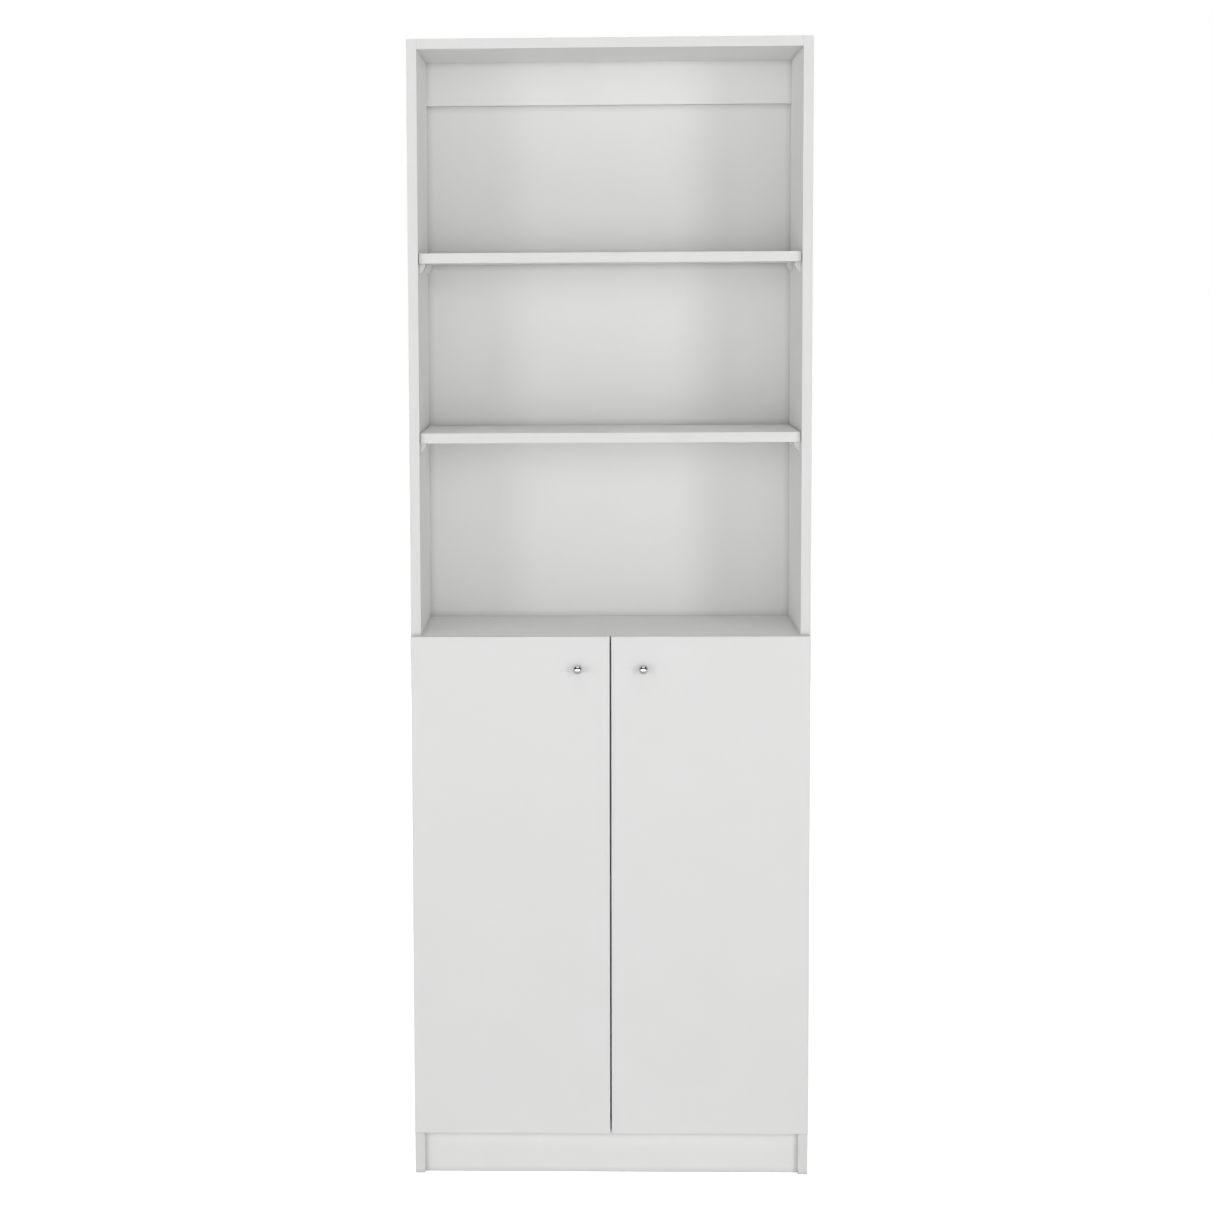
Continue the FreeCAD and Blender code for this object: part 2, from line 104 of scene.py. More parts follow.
def maprange(nt, fac, lo, hi, a=0.0, b=1.0):
    n = nt.nodes.new("ShaderNodeMapRange")
    n.inputs["From Min"].default_value = a
    n.inputs["From Max"].default_value = b
    n.inputs["To Min"].default_value = lo
    n.inputs["To Max"].default_value = hi
    nt.links.new(fac, n.inputs["Value"])
    return n.outputs["Result"]


def bump(nt, bsdf, height, strength, distance, onto=None):
    b = nt.nodes.new("ShaderNodeBump")
    b.inputs["Strength"].default_value = strength
    b.inputs["Distance"].default_value = distance
    nt.links.new(height, b.inputs["Height"])
    if onto is not None:
        nt.links.new(onto, b.inputs["Normal"])
    nt.links.new(b.outputs["Normal"], bsdf.inputs["Normal"])
    return b.outputs["Normal"]


def grey(v, tint=0.0):
    return (v, v, v * (1.0 - tint))


WHITE = 0.87


def painted_corner_shade(nt, col, reach, depth):
    """Painted shade: darkens a colour a little where another surface stands close, in inside corners, under shelves
    and round pins and knobs.
    """
    ao = nt.nodes.new("ShaderNodeAmbientOcclusion")
    ao.samples = 6
    ao.inputs["Distance"].default_value = reach
    mix = nt.nodes.new("ShaderNodeMix")
    mix.data_type = "RGBA"
    mix.blend_type = "MULTIPLY"
    mix.inputs["Factor"].default_value = 1.0
    shade = maprange(nt, ao.outputs["AO"], 1.0 - depth, 1.0, 0.1, 0.95)
    nt.links.new(col, mix.inputs[6])
    nt.links.new(shade, mix.inputs[7])
    return mix.outputs[2]


def melamine(name, base=WHITE, rough=0.50, tint=0.006, shade_depth=0.32):
    """Satin white melamine: pressed micro-texture, faint cloudiness in colour and gloss."""
    m, nt, b = new_material(name)
    v = coords(nt)
    cloud = noise(nt, v, 9.0, 4.0, 0.55)
    col = ramp(nt, cloud, [(0.3, grey(base * 0.992, tint)), (0.7, grey(base * 1.006, tint * 0.6))])
    # painted shade: the board colour darkens where another surface stands close
    nt.links.new(painted_corner_shade(nt, col, 0.010, shade_depth), b.inputs["Base Color"])
    fine = noise(nt, v, 900.0, 2.0, 0.5)
    nt.links.new(maprange(nt, fine, rough - 0.05, rough + 0.06), b.inputs["Roughness"])
    pearl = nt.nodes.new("ShaderNodeTexVoronoi")
    pearl.feature = "SMOOTH_F1"
    pearl.inputs["Scale"].default_value = 620.0
    pearl.inputs["Smoothness"].default_value = 1.0
    nt.links.new(v, pearl.inputs["Vector"])
    n1 = bump(nt, b, pearl.outputs["Distance"], 0.10, 0.00006)
    wave = noise(nt, v, 55.0, 2.0, 0.5)
    bump(nt, b, wave, 0.05, 0.00015, n1)
    b.inputs["Specular IOR Level"].default_value = 0.26
    b.inputs["Coat Weight"].default_value = 0.03
    b.inputs["Coat Roughness"].default_value = 0.35
    return m


def edge_band(name, base=WHITE * 0.99):
    """Smooth plastic edging, a touch glossier than the boards, with drawn lines along its length."""
    m, nt, b = new_material(name)
    v = coords(nt)
    cloud = noise(nt, v, 30.0, 3.0, 0.5)
    col = ramp(nt, cloud, [(0.3, grey(base * 0.985, 0.01)), (0.7, grey(base, 0.004))])
    # painted shade: the edging colour darkens where another surface stands close
    nt.links.new(painted_corner_shade(nt, col, 0.008, 0.45), b.inputs["Base Color"])
    lines = noise(nt, coords(nt, (1200, 1200, 12)), 1.0, 2.0, 0.5)
    nt.links.new(maprange(nt, lines, 0.36, 0.46), b.inputs["Roughness"])
    bump(nt, b, lines, 0.04, 0.00004)
    b.inputs["Specular IOR Level"].default_value = 0.28
    return m


def chipboard(name):
    """Bare particle board, seen in bores and on edges that carry no band."""
    m, nt, b = new_material(name)
    v = coords(nt)
    chips = nt.nodes.new("ShaderNodeTexVoronoi")
    chips.inputs["Scale"].default_value = 520.0
    nt.links.new(v, chips.inputs["Vector"])
    tone = nt.nodes.new("ShaderNodeSeparateColor")
    nt.links.new(chips.outputs["Color"], tone.inputs["Color"])
    col = ramp(nt, tone.outputs["Red"], [(0.0, (0.28, 0.17, 0.085)), (0.35, (0.47, 0.32, 0.18)),
                                         (0.7, (0.60, 0.44, 0.27)), (1.0, (0.72, 0.57, 0.38))])
    nt.links.new(col, b.inputs["Base Color"])
    b.inputs["Roughness"].default_value = 0.9
    bump(nt, b, chips.outputs["Distance"], 0.5, 0.0004)
    return m


def hardboard(name, split_y):
    """White lacquer on the face towards the shelves, bare brown fibre on the rear face and edges."""
    m, nt, b = new_material(name)
    tc = nt.nodes.new("ShaderNodeTexCoord")
    sep = nt.nodes.new("ShaderNodeSeparateXYZ")
    nt.links.new(tc.outputs["Object"], sep.inputs["Vector"])
    rear = maprange(nt, sep.outputs["Y"], 0.0, 1.0, split_y - 0.00005, split_y + 0.00005)
    v = coords(nt)
    cloud = noise(nt, v, 7.0, 4.0, 0.55)
    white = ramp(nt, cloud, [(0.3, grey(WHITE * 0.985, 0.01)), (0.7, grey(WHITE * 1.0, 0.006))])
    fibre = noise(nt, coords(nt, (1, 1, 2.6)), 420.0, 6.0, 0.65)
    brown = ramp(nt, fibre, [(0.25, (0.17, 0.095, 0.048)), (0.5, (0.30, 0.185, 0.10)), (0.75, (0.43, 0.285, 0.165))])
    mix = nt.nodes.new("ShaderNodeMix")
    mix.data_type = "RGBA"
    nt.links.new(rear, mix.inputs["Factor"])
    # painted shade: the white face darkens where another surface stands close
    nt.links.new(painted_corner_shade(nt, white, 0.012, 0.34), mix.inputs[6])
    nt.links.new(brown, mix.inputs[7])
    nt.links.new(mix.outputs[2], b.inputs["Base Color"])
    nt.links.new(maprange(nt, rear, 0.52, 0.82), b.inputs["Roughness"])
    n1 = bump(nt, b, fibre, 0.10, 0.0001)
    wave = noise(nt, v, 26.0, 2.0, 0.5)
    bump(nt, b, wave, 0.05, 0.0004, n1)
    b.inputs["Specular IOR Level"].default_value = 0.24
    return m


def metal(name, col, rough, streak=(1, 1, 1), scale=700.0, amount=0.05, grime=0.1):
    m, nt, b = new_material(name)
    fine = noise(nt, coords(nt, streak), scale, 3.0, 0.55)
    big = noise(nt, coords(nt), 60.0, 4.0, 0.6)
    c = ramp(nt, big, [(0.25, tuple(x * (1 - grime) for x in col)), (0.7, col)])
    nt.links.new(c, b.inputs["Base Color"])
    nt.links.new(maprange(nt, fine, max(0.02, rough - amount), rough + amount), b.inputs["Roughness"])
    b.inputs["Metallic"].default_value = 1.0
    bump(nt, b, fine, 0.05, 0.00003)
    return m


def milky_plastic(name):
    """Injection-moulded natural polypropylene, milky and slightly glossy."""
    m, nt, b = new_material(name)
    v = coords(nt)
    flow = noise(nt, v, 160.0, 4.0, 0.6)
    col = ramp(nt, flow, [(0.3, (0.84, 0.842, 0.84)), (0.7, (0.90, 0.902, 0.90))])
    nt.links.new(col, b.inputs["Base Color"])
    nt.links.new(maprange(nt, flow, 0.24, 0.36), b.inputs["Roughness"])
    b.inputs["Subsurface Weight"].default_value = 0.2
    b.inputs["Subsurface Radius"].default_value = (0.002, 0.002, 0.002)
    b.inputs["Subsurface Scale"].default_value = 1.0
    bump(nt, b, flow, 0.05, 0.0001)
    return m


def beech(name):
    m, nt, b = new_material(name)
    grain = noise(nt, coords(nt, (30, 900, 900)), 1.0, 5.0, 0.6)
    col = ramp(nt, grain, [(0.3, (0.42, 0.27, 0.14)), (0.7, (0.62, 0.44, 0.26))])
    nt.links.new(col, b.inputs["Base Color"])
    b.inputs["Roughness"].default_value = 0.7
    bump(nt, b, grain, 0.2, 0.0002)
    return m


REAR_FACE_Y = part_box("back_panel_upper")[1][1]
BOARD = melamine("melamine_carcass")
SHELF = melamine("melamine_shelf", WHITE * 0.998)
DOOR = melamine("melamine_door", WHITE * 0.96, rough=0.48)
BAND = edge_band("edge_band", WHITE * 0.925)
RAW = chipboard("raw_particle_board")
HARD = hardboard("hardboard_back", REAR_FACE_Y - 0.0029)
CHROME = metal("polished_chrome", (0.60, 0.60, 0.61), 0.05, amount=0.015, grime=0.03)
NICKEL = metal("nickel_plated_steel", (0.70, 0.685, 0.66), 0.24, amount=0.05)
ZINC = metal("zinc_plated_steel", (0.66, 0.67, 0.69), 0.32, amount=0.08, grime=0.15)
DIECAST = metal("die_cast_zinc", (0.50, 0.505, 0.515), 0.42, amount=0.08, grime=0.2)
PLASTIC = milky_plastic("milky_plastic")
BEECH = beech("beech")


# ------------------------------------------------------------------ pieces made from the CAD solids
def fresh_mesh(node):
    """A welded copy of a CAD node's mesh, with flat faces joined up."""
    src = NODES[node]
    bm = bmesh.new()
    bm.from_mesh(src.data)
    bmesh.ops.transform(bm, matrix=src.matrix_world, verts=bm.verts)
    bmesh.ops.remove_doubles(bm, verts=bm.verts, dist=1e-6)
    bmesh.ops.dissolve_limit(bm, angle_limit=math.radians(0.6), use_dissolve_boundaries=False,
                             verts=bm.verts, edges=bm.edges)
    bm.normal_update()
    return bm


def finish_piece(bm, name, mats, node, smooth_angle=None):
    me = bpy.data.meshes.new(name)
    bm.to_mesh(me)
    bm.free()
    for m in mats:
        me.materials.append(m)
    ob = bpy.data.objects.new(name, me)
    bpy.context.scene.collection.objects.link(ob)
    if smooth_angle is not None:
        me.shade_smooth()
        me.set_sharp_from_angle(angle=math.radians(smooth_angle))
    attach(ob, BODY_OF[node])
    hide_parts(node)
    return ob


def flat_faces_flat(ob):
    """Large faces keep their own normal and the small roundings between them take the blend."""
    mod = ob.modifiers.new("normals", "WEIGHTED_NORMAL")
    mod.keep_sharp = True
    mod.weight = 100
    dg = bpy.context.evaluated_depsgraph_get()
    me = bpy.data.meshes.new_from_object(ob.evaluated_get(dg))
    ob.modifiers.clear()
    old = ob.data
    ob.data = me
    bpy.data.meshes.remove(old)
    me.name = ob.name
    return ob


def board(node, face_mat, bands, band=0.8 * MM, radius=0.45 * MM, raw_radius=0.12 * MM):
    """A faced board. bands names the edges that carry edging: any of -x +x -y +y -z +z.
    Faces, edging, bare edges and bores get their own materials; edging has rounded corners."""
    lo, hi = (Vector(p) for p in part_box(node))
    size = hi - lo
    thick = min(range(3), key=lambda i: size[i])
    bm = fresh_mesh(node)
    planes = {}
    for i, ax in enumerate("xyz"):
        planes["-" + ax] = (i, lo[i], -1)
        planes["+" + ax] = (i, hi[i], 1)
    # the joint between edging and face: cut every face at the edging's thickness
    for key in bands:
        i, at, sgn = planes[key]
        co, no = Vector((0, 0, 0)), Vector((0, 0, 0))
        co[i], no[i] = at - sgn * band, 1.0
        bmesh.ops.bisect_plane(bm, geom=bm.verts[:] + bm.edges[:] + bm.faces[:], dist=1e-7,
                               plane_co=co, plane_no=no)
    bm.normal_update()
    for f in bm.faces:
        c = f.calc_center_bounds()
        where = None
        for key, (i, at, sgn) in planes.items():
            if all(abs(v.co[i] - at) < 5e-6 for v in f.verts):
                where = key
        if where is None:
            f.material_index = 2
        elif planes[where][0] == thick:
            f.material_index = 0
            for key in bands:
                i, at, sgn = planes[key]
                if (at - c[i]) * sgn < band:
                    f.material_index = 1
        else:
            f.material_index = 1 if where in bands else 2

    def on_edges(e):
        hit = set()
        for key, (i, at, sgn) in planes.items():
            if all(abs(v.co[i] - at) < 5e-6 for v in e.verts):
                hit.add(key)
        return hit

    rounded, eased = [], []
    for e in bm.edges:
        hit = on_edges(e)
        if len(hit) == 2:
            (rounded if hit & set(bands) else eased).append(e)
    if rounded:
        bmesh.ops.bevel(bm, geom=rounded, offset=radius, offset_type="OFFSET", segments=3, profile=0.5,
                        affect="EDGES", clamp_overlap=True, material=1)
    return flat_faces_flat(finish_piece(bm, "v_" + node, [face_mat, BAND, RAW], node, smooth_angle=40))


for n in ("side_panel_left", "side_panel_right"):
    board(n, BOARD, ["-y", "+z"])
board("top_panel", BOARD, ["-y"])
board("middle_panel", BOARD, ["-y"])
board("bottom_panel", BOARD, ["-y"])
board("plinth", BOARD, ["-z"])
board("back_rail", BOARD, ["-z"])
for n in ("shelf_upper", "shelf_lower", "shelf_inner"):
    board(n, SHELF, ["-y", "-x", "+x"])
for n in ("door_left", "door_right"):
    board(n, DOOR, ["-x", "+x", "-z", "+z"])

for n in ("back_panel_upper", "back_panel_lower"):
    bm = fresh_mesh(n)
    finish_piece(bm, "v_" + n, [HARD], n)


# ------------------------------------------------------------------ hardware
def islands(node):
    """Lowest and highest corner of each separate solid of a CAD node."""
    me = NODES[node].data
    bm = bmesh.new()
    bm.from_mesh(me)
    bmesh.ops.transform(bm, matrix=NODES[node].matrix_world, verts=bm.verts)
    bmesh.ops.remove_doubles(bm, verts=bm.verts, dist=1e-6)
    seen, out = set(), []
    for v in bm.verts:
        if v in seen:
            continue
        stack, group = [v], []
        seen.add(v)
        while stack:
            q = stack.pop()
            group.append(q.co.copy())
            for e in q.link_edges:
                w = e.other_vert(q)
                if w not in seen:
                    seen.add(w)
                    stack.append(w)
        out.append((Vector([min(c[i] for c in group) for i in range(3)]),
                    Vector([max(c[i] for c in group) for i in range(3)])))
    bm.free()
    return sorted(out, key=lambda p: tuple(round(x, 5) for x in p[0]))


def basis(direction):
    z = Vector(direction).normalized()
    x = Vector((0, 0, 1)).cross(z) if abs(z.z) < 0.9 else Vector((0, 1, 0)).cross(z)
    x.normalize()
    return x, z.cross(x), z


def lathe(bm, profile, origin, direction, segs=40):
    """Turned solid: profile holds (radius, height along direction); ends on the axis are closed."""
    x, y, z = basis(direction)
    origin = Vector(origin)
    rings = []
    for r, h in profile:
        if r < 1e-9:
            rings.append([bm.verts.new(origin + z * h)])
        else:
            rings.append([bm.verts.new(origin + z * h + (x * math.cos(t) + y * math.sin(t)) * r)
                          for t in (2 * math.pi * k / segs for k in range(segs))])
    for a, b in zip(rings, rings[1:]):
        for k in range(segs):
            q = (k + 1) % segs
            if len(a) == 1:
                bm.faces.new((a[0], b[k], b[q]))
            elif len(b) == 1:
                bm.faces.new((a[k], b[0], a[q]))
            else:
                bm.faces.new((a[k], b[k], b[q], a[q]))


def arc(cx, cy, r, a0, a1, n):
    return [(cx + r * math.cos(math.radians(a0 + (a1 - a0) * k / n)),
             cy + r * math.sin(math.radians(a0 + (a1 - a0) * k / n))) for k in range(n + 1)]


def cross_cutter(bm, top, direction, reach, width, depth, turn=0.0):
    """Tapered four-armed recess that opens at top and narrows inwards."""
    x, y, z = basis(direction)
    c, s = math.cos(turn), math.sin(turn)
    x, y = x * c + y * s, y * c - x * s
    for u, v in ((x, y), (y, -x)):
        ring = []
        for h, k in ((0.0006, 1.0), (-depth, 0.55)):
            base = Vector(top) + z * h
            ring.append([bm.verts.new(base + u * (a * reach * k) + v * (b * width * k))
                         for a, b in ((-1, -0.5), (1, -0.5), (1, 0.5), (-1, 0.5))])
        a, b = ring
        bm.faces.new(a)
        bm.faces.new(list(reversed(b)))
        for k in range(4):
            q = (k + 1) % 4
            bm.faces.new((a[k], b[k], b[q], a[q]))


def bm_object(bm, name):
    bmesh.ops.recalc_face_normals(bm, faces=bm.faces)
    me = bpy.data.meshes.new(name)
    bm.to_mesh(me)
    bm.free()
    ob = bpy.data.objects.new(name, me)
    bpy.context.scene.collection.objects.link(ob)
    return ob


def carve(ob, cutter):
    """Take the cutter away from the piece and keep the result as plain mesh."""
    mod = ob.modifiers.new("cut", "BOOLEAN")
    mod.operation = "DIFFERENCE"
    mod.solver = "EXACT"
    mod.use_self = True
    mod.object = cutter
    dg = bpy.context.evaluated_depsgraph_get()
    me = bpy.data.meshes.new_from_object(ob.evaluated_get(dg))
    ob.modifiers.clear()
    old = ob.data
    ob.data = me
    me.name = ob.name
    bpy.data.meshes.remove(old)
    bpy.data.objects.remove(cutter)
    return ob


def dress(ob, mats, nodes, body, smooth=30):
    ob.data.materials.clear()
    for m in mats:
        ob.data.materials.append(m)
    ob.data.shade_smooth()
    ob.data.set_sharp_from_angle(angle=math.radians(smooth))
    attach(ob, body)
    if nodes:
        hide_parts(*nodes)
    return ob


def screws(node, direction, r_head, h_head, r_shank, turn=0.5):
    """Cross-recessed screws in place of a node's plain ones; the head faces direction."""
    d = Vector(direction)
    ax = max(range(3), key=lambda i: abs(d[i]))
    body, cutter = bmesh.new(), bmesh.new()
    for n, (lo, hi) in enumerate(islands(node)):
        mid = (lo + hi) / 2
        head_top = mid.copy()
        head_top[ax] = hi[ax] if d[ax] > 0 else lo[ax]
        length = hi[ax] - lo[ax]
        dome = arc(0, -h_head * 0.25, h_head * 1.25, 90, 0, 1)
        profile = [(0, -length), (r_shank * 0.35, -length + 0.0003), (r_shank, -length + 0.0022)]
        pitch, h = 0.0012, -length + 0.0030
        while h < -h_head - 0.0016:
            profile += [(r_shank * 0.80, h), (r_shank, h + pitch * 0.5)]
            h += pitch
        profile += [(r_shank * 0.85, -h_head - 0.0004), (r_shank * 0.9, -h_head),
                    (r_head * 0.97, -h_head), (r_head, -h_head * 0.93), (r_head, -h_head * 0.70)]
        for k in range(1, 9):
            t = math.pi / 2 * k / 8
            profile.append((max(0.0, r_head * math.cos(t)), -h_head * 0.70 + h_head * 0.70 * math.sin(t)))
        profile[-1] = (0, 0)
        lathe(body, profile, head_top, d, 36)
        cross_cutter(cutter, head_top, d, r_head * 0.56, r_head * 0.20, h_head * 0.8, turn + 0.37 * n)
    ob = carve(bm_object(body, "v_" + node), bm_object(cutter, "cutter"))
    return dress(ob, [ZINC], [node], BODY_OF[node])


def eased(node, mats, radius, segments=2, smooth=30, limit=30):
    """The node's own shape with every sharp edge rounded."""
    bm = fresh_mesh(node)
    sharp = [e for e in bm.edges if len(e.link_faces) == 2 and e.calc_face_angle(0) > math.radians(limit)]
    bmesh.ops.bevel(bm, geom=sharp, offset=radius, offset_type="OFFSET", segments=segments, profile=0.5,
                    affect="EDGES", clamp_overlap=True)
    return flat_faces_flat(finish_piece(bm, "v_" + node, mats, node, smooth_angle=60))


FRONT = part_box("door_left")[0][1]
for side in ("left", "right"):
    lo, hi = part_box("knob_" + side)
    cx, cz = (lo[0] + hi[0]) / 2, (lo[2] + hi[2]) / 2
    out = FRONT - lo[1]                                   # projection from the door
    R = (hi[2] - lo[2]) / 2
    bm = bmesh.new()
    foot = [(0.0, 0.0), (4.5 * MM, 0.0), (4.75 * MM, 0.15 * MM)] + arc(4.25 * MM, 1.3 * MM, 0.5 * MM, 0, 90, 5)
    foot += [(3.9 * MM, 2.0 * MM), (3.45 * MM, 2.5 * MM), (3.2 * MM, 3.3 * MM), (3.15 * MM, 5.0 * MM)]
    centre = out - R
    neck_angle = math.asin(3.35 * MM / R)
    neck_top = centre - R * math.cos(neck_angle)
    foot += [(3.15 * MM, neck_top - 0.9 * MM), (3.2 * MM, neck_top - 0.35 * MM), (3.35 * MM, neck_top)]
    ball = [(R * math.sin(t), centre - R * math.cos(t))
            for t in (neck_angle + (math.pi - neck_angle) * k / 40 for k in range(1, 40))]
    lathe(bm, foot + ball + [(0.0, out)], (cx, FRONT, cz), (0, -1, 0), 72)
    dress(bm_object(bm, "v_knob_" + side), [CHROME], ["knob_" + side], "door_" + side, 50)

for side in ("left", "right"):
    inward = 1 if side == "left" else -1
    screws("cup_screws_" + side, (0, 1, 0), 3.0 * MM, 1.0 * MM, 1.75 * MM)
    screws("knob_screw_" + side, (0, 1, 0), 4.0 * MM, 2.0 * MM, 2.0 * MM)
    screws("plate_screws_" + side, (inward, 0, 0), 3.8 * MM, 1.6 * MM, 2.4 * MM)
    eased("hinge_cups_" + side, [NICKEL], 0.25 * MM, 2)
    eased("hinge_arms_" + side, [NICKEL], 0.35 * MM, 3)
    eased("hinge_plates_" + side, [NICKEL], 0.35 * MM, 2)
    eased("hinge_links_" + side, [NICKEL], 0.25 * MM, 2)
    eased("hinge_pins_" + side, [ZINC], 0.25 * MM, 2)
    # the arm's fixing and adjusting screws
    bm, cutter = bmesh.new(), bmesh.new()
    for n, (lo, hi) in enumerate(islands("hinge_arms_" + side)):
        face_x = hi[0] if inward > 0 else lo[0]
        for k, y in enumerate((lo[1] + 19 * MM, lo[1] + 50 * MM)):
            r, h = (2.9 * MM, 0.7 * MM) if k == 0 else (3.4 * MM, 0.8 * MM)
            top = Vector((face_x + inward * h, y, (lo[2] + hi[2]) / 2))
            prof = [(0, -h - 0.5 * MM), (r * 0.96, -h - 0.5 * MM), (r, -h), (r, -h * 0.4)]
            prof += [(r * math.cos(math.pi / 2 * q / 6), -h * 0.4 + h * 0.4 * math.sin(math.pi / 2 * q / 6))
                     for q in range(1, 6)] + [(0, 0)]
            lathe(bm, prof, top, (inward, 0, 0), 36)
            cross_cutter(cutter, top, (inward, 0, 0), r * 0.58, r * 0.22, 0.9 * MM, 0.3 + 0.5 * n + k)
    ob = carve(bm_object(bm, "v_arm_screws_" + side), bm_object(cutter, "cutter"))
    dress(ob, [ZINC], [], "carcass")

for n in ("shelf_pins_upper", "shelf_pins_lower", "shelf_pins_inner"):
    eased(n, [PLASTIC], 0.45 * MM, 3)

# cams: the face that shows has a cross recess
bm = fresh_mesh("cam_locks")
body = bm_object(bm, "v_cam_locks")
cutter = bmesh.new()
for n, (lo, hi) in enumerate(islands("cam_locks")):
    mid = (lo + hi) / 2
    size = hi - lo
    ax = min(range(3), key=lambda i: size[i])
    d = Vector((0, 0, 0))
    if ax == 1:
        d.y = 1
    else:
        d.z = 1 if mid.z > 1.0 else -1
    top = mid.copy()
    top[ax] = hi[ax] if d[ax] > 0 else lo[ax]
    cross_cutter(cutter, top, d, 3.4 * MM, 1.3 * MM, 2.6 * MM, 0.2 + 0.6 * n)
dress(carve(body, bm_object(cutter, "cutter")), [DIECAST], ["cam_locks"], "carcass")

eased("back_nails", [ZINC], 0.12 * MM, 1)


def set_material(node, mat):
    for s in NODES[node].material_slots:
        s.material = mat


set_material("cam_bolts", ZINC)
set_material("dowels", BEECH)

# ------------------------------------------------------------------ floor, light, camera
scene = bpy.context.scene
scene.view_settings.view_transform = "Standard"
scene.view_settings.look = "None"
scene.view_settings.exposure = 0.0
scene.view_settings.gamma = 1.0

bpy.ops.mesh.primitive_plane_add(size=60, location=(0, 0, 0))
floor = bpy.context.active_object
floor.name = "floor"
fm, fnt, fb = new_material("floor_white")
fn = noise(fnt, coords(fnt), 3.0, 3.0, 0.5)
fnt.links.new(ramp(fnt, fn, [(0.3, (0.90, 0.90, 0.90)), (0.7, (0.92, 0.92, 0.92))]), fb.inputs["Base Color"])
fb.inputs["Roughness"].default_value = 0.9
fb.inputs["Specular IOR Level"].default_value = 0.1
f_path = fnt.nodes.new("ShaderNodeLightPath")
f_tc = fnt.nodes.new("ShaderNodeTexCoord")
f_sep = fnt.nodes.new("ShaderNodeSeparateXYZ")
fnt.links.new(f_tc.outputs["Object"], f_sep.inputs["Vector"])
f_ahead = maprange(fnt, f_sep.outputs["Y"], 1.0, 0.0, -1.1, -0.7)
f_abs = fnt.nodes.new("ShaderNodeMath")
f_abs.operation = "ABSOLUTE"
fnt.links.new(f_sep.outputs["X"], f_abs.inputs[0])
f_lane = maprange(fnt, f_abs.outputs["Value"], 0.35, 1.0, 0.15, 0.55)
f_cards = fnt.nodes.new("ShaderNodeMath")
f_cards.operation = "MULTIPLY"
fnt.links.new(f_ahead, f_cards.inputs[0])
fnt.links.new(f_lane, f_cards.inputs[1])
f_front = f_cards.outputs["Value"]


def scaled(fac, value, name):
    n = fnt.nodes.new("ShaderNodeMath")
    n.name = name
    n.operation = "MULTIPLY"
    n.inputs[1].default_value = value
    fnt.links.new(fac, n.inputs[0])
    return n.outputs["Value"]


f_rad = fnt.nodes.new("ShaderNodeVectorMath")
f_rad.operation = "LENGTH"
fnt.links.new(f_tc.outputs["Object"], f_rad.inputs[0])
f_near = maprange(fnt, f_rad.outputs["Value"], 0.90, 1.0, 0.45, 1.3)
f_view = fnt.nodes.new("ShaderNodeMath")
f_view.operation = "MULTIPLY"
fnt.links.new(f_path.outputs["Is Camera Ray"], f_view.inputs[0])
fnt.links.new(f_near, f_view.inputs[1])
f_seen = scaled(f_view.outputs["Value"], 1.0, "seen_glow")
# The floor glows for glossy rays only, in front of the cabinet and dimmer along its centre line: painted reflections
# for the chrome knobs.
f_gloss = scaled(f_path.outputs["Is Glossy Ray"], 1.2, "gloss_glow")
f_mask = fnt.nodes.new("ShaderNodeMath")
f_mask.operation = "MULTIPLY"
fnt.links.new(f_gloss, f_mask.inputs[0])
fnt.links.new(f_front, f_mask.inputs[1])
f_sum = fnt.nodes.new("ShaderNodeMath")
f_sum.operation = "ADD"
fnt.links.new(f_seen, f_sum.inputs[0])
fnt.links.new(f_mask.outputs["Value"], f_sum.inputs[1])
fb.inputs["Emission Color"].default_value = (1, 1, 1, 1)
fnt.links.new(f_sum.outputs["Value"], fb.inputs["Emission Strength"])
floor.data.materials.append(fm)

world = bpy.data.worlds.new("studio")
scene.world = world
world.use_nodes = True
wnt = world.node_tree
wnt.nodes.clear()
w_out = wnt.nodes.new("ShaderNodeOutputWorld")
w_seen = wnt.nodes.new("ShaderNodeBackground")
w_lit = wnt.nodes.new("ShaderNodeBackground")
w_mix = wnt.nodes.new("ShaderNodeMixShader")
w_path = wnt.nodes.new("ShaderNodeLightPath")
w_seen.inputs["Color"].default_value = (1, 1, 1, 1)
w_seen.inputs["Strength"].default_value = 1.0
w_lit.inputs["Color"].default_value = (1, 1, 1, 1)
w_lit.inputs["Strength"].default_value = 0.02
wnt.links.new(w_path.outputs["Is Camera Ray"], w_mix.inputs["Fac"])
wnt.links.new(w_lit.outputs["Background"], w_mix.inputs[1])
wnt.links.new(w_seen.outputs["Background"], w_mix.inputs[2])
wnt.links.new(w_mix.outputs["Shader"], w_out.inputs["Surface"])


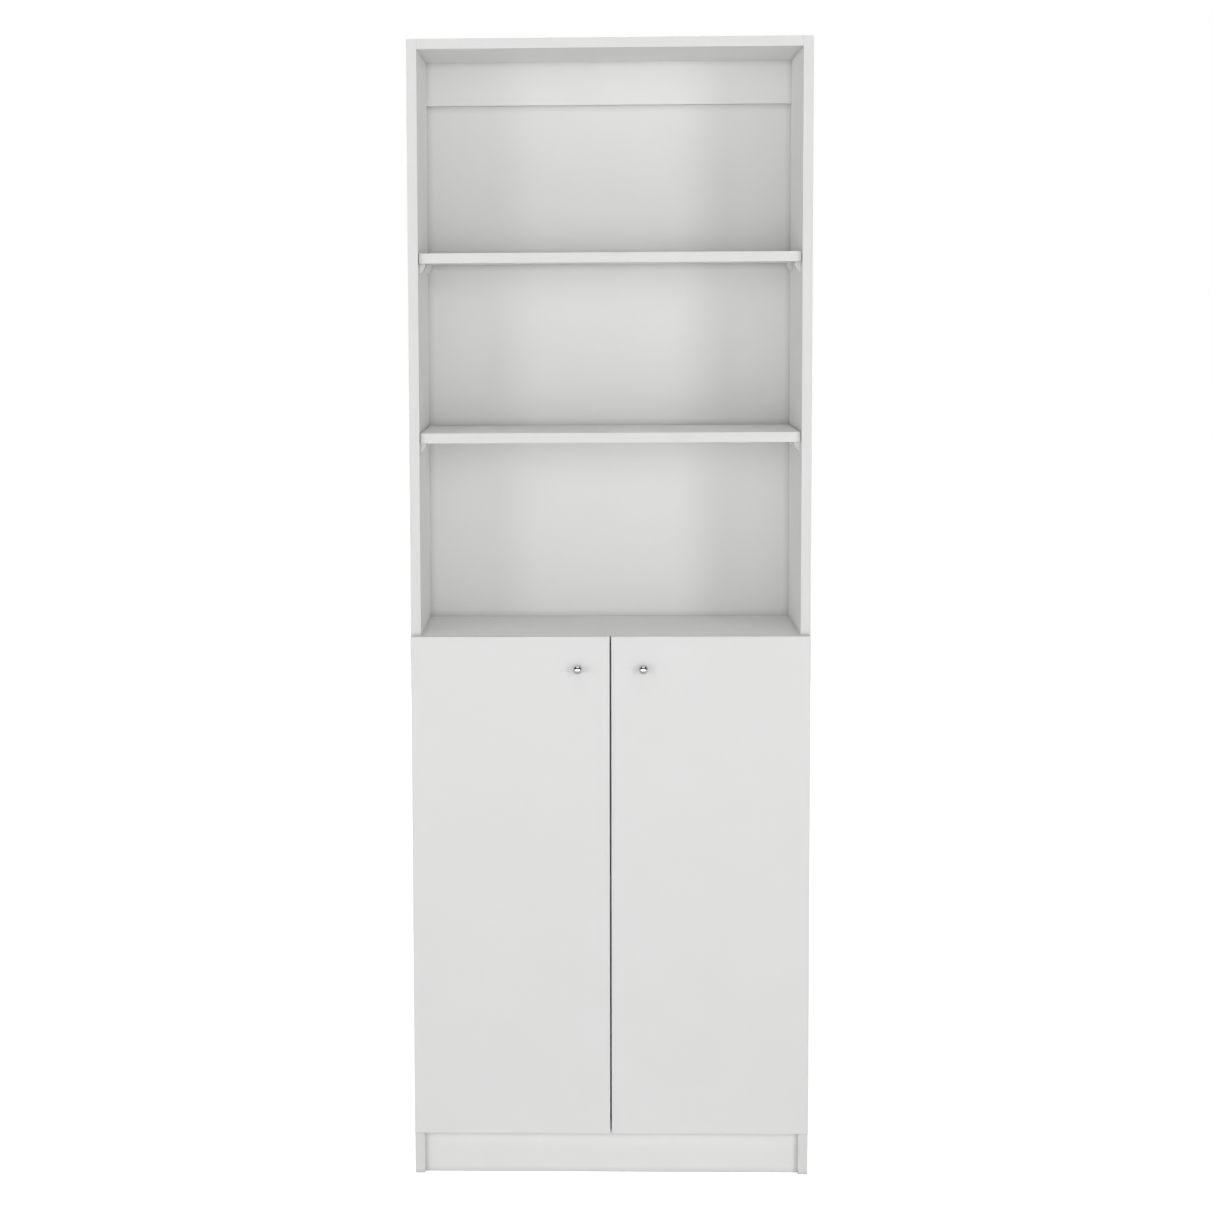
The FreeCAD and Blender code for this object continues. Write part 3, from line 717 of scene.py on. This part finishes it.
def area(name, loc, target, size, power, size_y=None):
    d = bpy.data.lights.new(name, "AREA")
    d.shape = "RECTANGLE"
    d.size = size
    d.size_y = size_y or size
    d.energy = power * 0.957
    o = bpy.data.objects.new(name, d)
    scene.collection.objects.link(o)
    o.location = loc
    o.visible_camera = False
    o.rotation_euler = (Vector(target) - Vector(loc)).to_track_quat("-Z", "Y").to_euler()
    return o


area("low_left", (-0.78, -5.0, 0.7), (0, 0, 0.9), 1.46, 7.0, 1.0)
area("low_right", (0.78, -5.0, 0.7), (0, 0, 0.9), 1.46, 7.0, 1.0)
area("front_left", (-0.78, -5.2, 1.5), (0, 0, 1.0), 1.46, 15.8, 1.4)
area("front_right", (0.78, -5.2, 1.5), (0, 0, 1.0), 1.46, 15.8, 1.4)
area("tall_left", (-2.4, -4.4, 1.3), (0, 0, 1.0), 1.0, 31.5, 2.4)
area("tall_right", (2.4, -4.4, 1.3), (0, 0, 1.0), 1.0, 40.6, 2.4)
area("side_left", (-3.2, -4.2, 1.8), (0, 0, 1.0), 1.6, 8.2, 2.4)
area("side_right", (3.2, -4.2, 1.8), (0, 0, 1.0), 1.6, 21.9, 2.4)
area("wide_left", (-5.2, -4.0, 1.2), (0, 0, 1.0), 1.6, 39.8, 2.2)
area("wide_right", (5.2, -4.0, 1.2), (0, 0, 1.0), 1.6, 9.0, 2.2)
area("overhead", (0, -1.5, 4.2), (0, -0.3, 0.5), 4.0, 49.7, 3.0)
area("fill_left", (-5.0, 1.8, 1.7), (0, 0, 0.9), 2.2, 38, 2.6)
area("fill_right", (5.0, 1.8, 1.7), (0, 0, 0.9), 2.2, 38, 2.6)
area("rear", (0, 5.6, 2.0), (0, 0, 0.9), 4.0, 95, 2.4)

cam_data = bpy.data.cameras.new("camera")
cam = bpy.data.objects.new("camera", cam_data)
scene.collection.objects.link(cam)
right = Vector((0.999300, 0.036919, -0.006037))
up = Vector((0.002055, 0.106940, 0.994263))
fwd = Vector((-0.037353, 0.993580, -0.106790))
rot = Matrix((right, up, -fwd)).transposed().to_4x4()
cam.matrix_world = Matrix.Translation((-0.026306, -4.575920, 1.340254)) @ rot
cam_data.sensor_width = 36.0
cam_data.sensor_fit = "HORIZONTAL"
cam_data.lens = 88.3759
cam_data.shift_x = 0.103508
cam_data.shift_y = 0.006494
cam_data.clip_end = 100
scene.camera = cam
